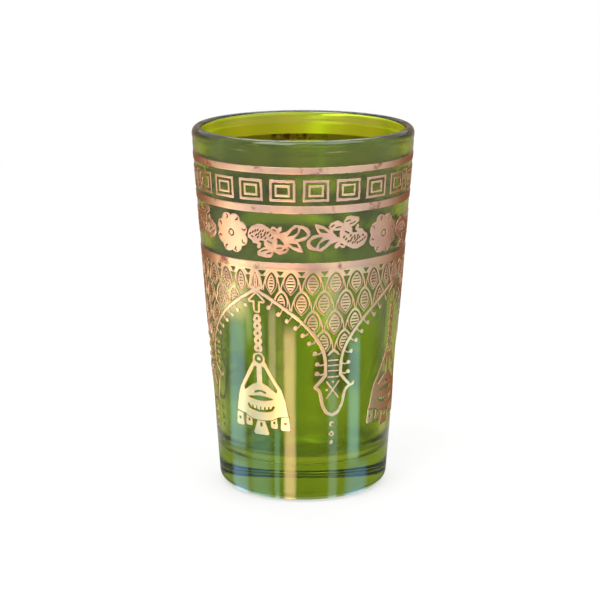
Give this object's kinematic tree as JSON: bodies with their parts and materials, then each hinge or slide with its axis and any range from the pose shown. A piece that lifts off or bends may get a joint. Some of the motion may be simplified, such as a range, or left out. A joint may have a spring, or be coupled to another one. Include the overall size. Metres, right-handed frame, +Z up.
{
  "type": "tea glass",
  "caption": "Tapered green glass tea tumbler with a rounded lip, a thick floor and raised gold ornament of bands, squares, flowers, arches and hanging lanterns.",
  "frame": {"origin": "centre of the plane that the glass rests on", "axes": "+Z up along the glass's axis, -Y towards the decorated front, +X to the right as seen from the front"},
  "size_m": [0.0546, 0.0546, 0.09],
  "materials": {
    "green_glass": "clear, tinted olive green, fire polished",
    "gilding": "fired rose gold, satin, slightly worn"
  },
  "bodies": {
    "root": {"glass_tumbler": "green_glass", "upper_gilt_band": "gilding", "frieze_outer_squares": "gilding", "frieze_inner_squares": "gilding", "lower_gilt_band": "gilding", "garland_flowers": "gilding", "garland_sprays": "gilding", "arcade_band": "gilding", "arcade_scales": "gilding", "arcade_almonds": "gilding", "arch_borders": "gilding", "pendant_rungs": "gilding", "pendant_crosses": "gilding", "pendant_drops": "gilding", "lantern_chains": "gilding", "lanterns": "gilding", "lantern_tassels": "gilding"}
  },
  "joints": []
}
